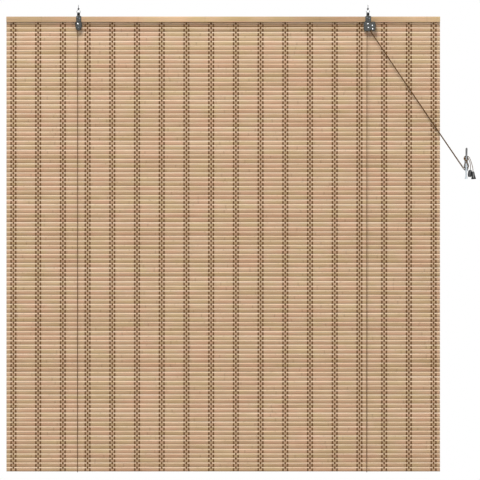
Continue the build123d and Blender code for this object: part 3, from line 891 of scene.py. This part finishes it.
PULLEY_SCREWS = [(-HOOK_X - 4.8, -4.5), (-HOOK_X + 3.2, -8.7), (HOOK_X - 2.5, -5.2), (HOOK_X + 5.5, -9.0)]
made = Shape()
for x, z in PULLEY_SCREWS:
    screw(made, x, z, PLATE_FRONT_Y, away=-1, long=7.7, shank=1.4, radius=2.7, tall=1.5)
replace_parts(made.make("pulley_screws_cut", "blind_head", DULL, "zinc_steel", 40), "pulley_screws")
made = Shape()
for x in BATTEN_SCREW_X:
    screw(made, x, BATTEN_SCREW_Z, BATTEN_FAR, away=1, long=19.0, shank=1.75, radius=3.3, tall=1.6)
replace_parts(made.make("batten_screws_cut", "blind_head", ZINC, "zinc_steel", 40), "batten_screws")
made = Shape()
for z in (-CLEAT_SCREW, CLEAT_SCREW):
    screw(made, CLEAT_X, CLEAT_MID_Z + z, BASE_FRONT_Y, away=-1, long=18.4, shank=2.0, radius=3.4, tall=1.6)
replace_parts(made.make("cleat_screws_cut", "blind_head", ZINC, "zinc_steel", 40), "cleat_screws")


# a sheave's half section from its bore over the flange into the groove: radius and distance from its middle
SHEAVE = [
    (1.4, 2.0), (2.4, 2.0), (2.6, 1.5), (4.6, 1.5), (4.8, 2.1), (5.5, 2.1),
    (5.8, 1.8), (5.7, 1.5), (4.4, 1.05), (3.5, 0.6), (3.2, 0.0),
]


def wheel(name, x, y):
    """A moulded sheave: two rounded flanges, a round groove and a recessed web."""
    profile = SHEAVE + [(r, -d) for r, d in reversed(SHEAVE[:-1])]
    shape = Shape()
    revolve(shape, profile, (x, y, AXLE_Z), "Y", 32)
    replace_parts(shape.make(name + "_wheel", name, NYLON, "nylon", 35), name)


wheel("left_sheave", LEFT_AXLE_X, REAR_SHEAVE_Y)
wheel("lock_sheave_rear", RIGHT_AXLE_X, REAR_SHEAVE_Y)
wheel("lock_sheave_front", RIGHT_AXLE_X, FRONT_SHEAVE_Y)


# cleat

# the cleat's bar from the top down: height from its middle, half width, front and back
CLEAT_BAR = [
    (54.0, 1.2, -11.3, -9.9),
    (53.4, 2.4, -11.8, -9.5),
    (51.8, 3.2, -12.0, -9.2),
    (48.0, 3.5, -11.8, -8.8),
    (38.0, 3.4, -10.4, -7.0),
    (27.0, 3.2, -9.2, -4.7),
    (14.0, 3.1, -8.6, -4.0),
    (0.0, 3.1, -8.4, -4.0),
    (-14.0, 2.9, -8.6, -4.0),
    (-25.0, 2.8, -9.0, -4.6),
    (-36.0, 2.6, -10.1, -6.8),
    (-44.0, 3.0, -11.1, -8.2),
    (-49.0, 3.8, -11.8, -9.2),
    (-52.4, 5.1, -12.0, -9.7),
    (-53.6, 5.0, -11.9, -9.9),
    (-54.0, 4.2, -11.5, -10.2),
]
# how far the bar goes sideways for each mm of height, and the height from which painted shade fades in
# towards its upper horn, and over how many mm
CLEAT_LEAN = 0.013
PAINTED_SHADE_FROM = 8
PAINTED_SHADE_OVER = 22
# a leg from the bar to the base, as depth and how much wider it is there
LEG_Z = 9.5
LEG = [(-4.6, 0.0), (-1.5, 0.0), (2.4, 0.1), (3.4, 0.8), (3.8, 1.4)]
# the base from the wall to its front, as depth and how much narrower it is there
BASE = [(6.0, 0.1), (5.8, 0.0), (4.5, 0.0), (3.9, 0.25), (BASE_FRONT_Y, 0.8)]


def cleat():
    """The cleat: a bar whose ends are its two horns, two legs, and a base plate on the wall."""
    shape = Shape()
    rings = []
    for z, half, front, back in CLEAT_BAR:
        deep = (back - front) / 2
        ring = []
        for u, v in rounded(half, deep, min(half, deep) * 0.85, 3):
            ring.append((CLEAT_X + CLEAT_LEAN * z + u, (front + back) / 2 + v, CLEAT_MID_Z + z))
        # painted shade, growing towards the upper horn
        shape.marks.extend([min(1.0, max(0.0, (z - PAINTED_SHADE_FROM) / PAINTED_SHADE_OVER))] * len(ring))
        rings.append(ring)
    shape.loft(rings)
    for side in (-1, 1):
        rings = []
        for y, grow in LEG:
            outline = rounded(2.8 + grow, 4.0 + grow, 1.6)
            rings.append([(CLEAT_X + u, y, CLEAT_MID_Z + side * LEG_Z + v) for u, v in outline])
        shape.loft(rings)
    rings = []
    for y, less in BASE:
        outline = rounded(6.5 - less, 27.0 - less, 5.6 - less)
        rings.append([(CLEAT_X + u, y, CLEAT_MID_Z + v) for u, v in outline])
    shape.loft(rings)
    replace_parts(shape.make("cleat_cast", "blind_head", CLEAT, "cleat_steel", 35), "cleat")


cleat()


# tassels

# the tassels' outlines from the cord's hole down and up into the hollow: radius and distance below the top
BARREL = [
    (1.6, 0), (3.4, -0.2), (5.0, -1.0), (6.0, -2.6), (6.5, -5.0), (6.9, -9.5), (6.9, -15.0), (6.7, -19.0),
    (6.1, -22.0), (5.2, -23.6), (3.6, -24.4), (2.2, -24.5), (1.8, -23.6),
]
BELL = [
    (1.5, 0), (2.8, -0.2), (3.6, -0.9), (4.1, -2.6), (4.8, -8.0), (5.8, -14.0), (7.0, -19.6), (7.8, -23.2),
    (8.2, -25.0), (8.1, -26.1), (7.5, -26.5), (6.6, -26.2), (5.6, -23.5), (4.7, -18.0), (4.0, -14.5),
    (1.5, -14.0),
]


def tassel(name, profile, top, lean, painted_highlight):
    """A turned tassel that hangs from its top, leaning by some degrees, with a painted highlight down its
    front.
    """
    shape = Shape()
    revolve(shape, profile, top, "Z", 32, lean, painted_highlight)
    piece = shape.make(name + "_turned", "blind_head", TASSEL, "black_tassel", 45)
    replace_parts(piece, name)
    return piece


TASSELS = {
    "left": tassel("left_tassel", BARREL, (854.5, -5.5, -532.0), lean=-5.5, painted_highlight=0.55),
    "right": tassel("right_tassel", BELL, (863.3, -20.5, -537.6), lean=4.0, painted_highlight=0.8),
}


# cords

def route(points):
    """The smooth line of a cord, as points along a NURBS spline of order three."""
    data = bpy.data.curves.new("route", "CURVE")
    data.dimensions = "3D"
    data.resolution_u = 16
    spline = data.splines.new("NURBS")
    spline.points.add(len(points) - 1)
    for p, (x, y, z) in zip(spline.points, points):
        p.co = (x, y, z, 1)
    spline.order_u = 3
    spline.use_endpoint_u = True
    obj = add("route", data)
    bpy.context.view_layer.update()
    mesh = bpy.data.meshes.new_from_object(obj.evaluated_get(bpy.context.evaluated_depsgraph_get()))
    line = [v.co.copy() for v in mesh.vertices]
    bpy.data.objects.remove(obj)
    bpy.data.curves.remove(data)
    bpy.data.meshes.remove(mesh)
    return line


def tube(name, line, radius, sides=8):
    """A round cord along a line in the row frame."""
    tangent = (line[1] - line[0]).normalized()
    side = tangent.orthogonal().normalized()
    points, faces = [], []
    for i, p in enumerate(line):
        new = (line[min(i + 1, len(line) - 1)] - line[max(i - 1, 0)]).normalized()
        side = (side - new * side.dot(new)).normalized()
        up = new.cross(side)
        for k in range(sides):
            a = 2 * math.pi * k / sides
            points.append(p + side * (radius * math.cos(a)) + up * (radius * math.sin(a)))
    for i in range(len(line) - 1):
        for k in range(sides):
            n = (k + 1) % sides
            faces.append((i * sides + k, i * sides + n, (i + 1) * sides + n, (i + 1) * sides + k))
    faces.append(tuple(range(sides - 1, -1, -1)))
    faces.append(tuple(range((len(line) - 1) * sides, len(line) * sides)))
    mesh = bpy.data.meshes.new(name)
    mesh.from_pydata(points, [], faces)
    mesh.materials.append(CORD)
    mesh.shade_smooth()
    obj = add(name, mesh)
    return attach(obj, "blind_head")


def lift_route(x, x_front, sheave_y):
    """From under the rear batten down the back, round the hem and up the front into the pulley."""
    back = [(x, LIFT_START_Y, LIFT_START_Z), (x, 3.8, -80), (x, 3.8, -1562), (x, 3.9, -1577.3)]
    front = [(x_front, -3.9, -1577.3), (x_front, -3.9, -1562), (x_front, sheave_y, -60)]
    return [at(*p) for p in back + front + [(x, sheave_y, LIFT_END_Z)]]


# from inside the left pulley over to the lock, down to the cleat, twice round it and out to the tassel
LEFT_PULL = [
    (-504.0, -14.1, -44.0),
    (-504.3, -14.1, -35.3),
    (-491.0, -14.1, -35.6),
    (492.6, -14.1, -35.6),
    (503.2, -14.1, -35.4),
    (505.8, -14.1, -46.5),
    (513.2, -14.1, -60.9),
    (827.2, -10.9, -524.2),
    (833.0, -6.0, -531.0),
    (837.5, -1.0, -531.6),
    (844.5, -1.0, -530.5),
    (849.0, -7.0, -524.5),
    (840.0, -10.9, -502.5),
    (831.2, -9.5, -495.0),
    (833.5, -4.5, -488.0),
    (838.0, -1.0, -486.0),
    (843.5, -1.0, -486.5),
    (849.5, -7.0, -492.5),
    (839.5, -13.2, -502.0),
    (832.0, -10.5, -517.0),
    (834.0, -5.0, -525.5),
    (838.0, -1.0, -527.2),
    (844.0, -1.0, -526.8),
    (848.0, -8.0, -520.0),
    (840.5, -16.0, -504.0),
    (833.0, -9.5, -493.5),
    (836.0, -1.0, -490.3),
    (843.5, -1.0, -490.0),
    (849.0, -4.0, -495.5),
    (853.4, -4.0, -505.0),
    (855.8, -5.0, -519.0),
    (854.4, -5.5, -533.5),
]
# from inside the lock to the cleat, once round it and out to the tassel
RIGHT_PULL = [
    (497.2, -18.6, -44.0),
    (496.9, -18.6, -35.3),
    (503.2, -18.6, -35.4),
    (507.0, -18.6, -45.5),
    (514.0, -18.6, -60.3),
    (828.0, -14.2, -522.0),
    (834.0, -7.5, -526.8),
    (837.5, -1.0, -524.4),
    (844.5, -1.0, -524.2),
    (850.5, -9.5, -519.5),
    (842.5, -18.0, -501.0),
    (833.0, -11.5, -489.5),
    (836.0, -2.0, -483.5),
    (844.5, -1.0, -483.3),
    (851.0, -5.0, -488.0),
    (856.0, -8.0, -500.0),
    (861.0, -15.0, -518.0),
    (862.9, -20.5, -529.0),
    (863.05, -20.5, -538.8),
]


def knot(name, x):
    """The knotted end of a lift cord under the rear batten's hole."""
    profile = [(1.1, 20), (1.1, 6), (1.5, 4.5), (2.1, 3.2), (2.3, 2.2), (1.9, 1.0), (1.2, 0.2), (1.1, -0.6)]
    shape = Shape()
    revolve(shape, profile, (x, LIFT_START_Y, LIFT_START_Z), "Z", 12)
    return shape.make(name, "blind_head", CORD, "cord_yarn", 40)


def cords():
    """Both cords, each as its lift run with the knot and its pull cord with the tassel."""
    for side, x, sheave_y in (("left", LEFT_CORD_X, REAR_SHEAVE_Y), ("right", RIGHT_CORD_X, FRONT_SHEAVE_Y)):
        x_front = x - RIGHT_RUN_SHIFT if side == "right" else x
        line = route(lift_route(x, x_front, sheave_y))
        lift = tube(side + "_lift_run", line, CORD_D / 2000)
        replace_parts(lift, side + "_cord")
        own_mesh(lift)
        knotted = knot(side + "_knot", x)
        line = route([at(*p) for p in (LEFT_PULL if side == "left" else RIGHT_PULL)])
        pull = tube(side + "_pull_cord", line, CORD_D / 2000)


cords()


# floor

def floor():
    """A pale floor, far enough below the blind to stay out of the photograph's frame."""
    mesh = bpy.data.meshes.new("floor")
    z = at(0, 0, FLOOR_Z)[2]
    mesh.from_pydata([(-4, -3.5, z), (4, -3.5, z), (4, 2.4, z), (-4, 2.4, z)], [], [(0, 1, 2, 3)])
    pale, _, shader = tree("pale_floor")
    shader.inputs["Base Color"].default_value = (0.8, 0.8, 0.79, 1)
    shader.inputs["Roughness"].default_value = 0.9
    mesh.materials.append(pale)
    add("floor", mesh)


floor()
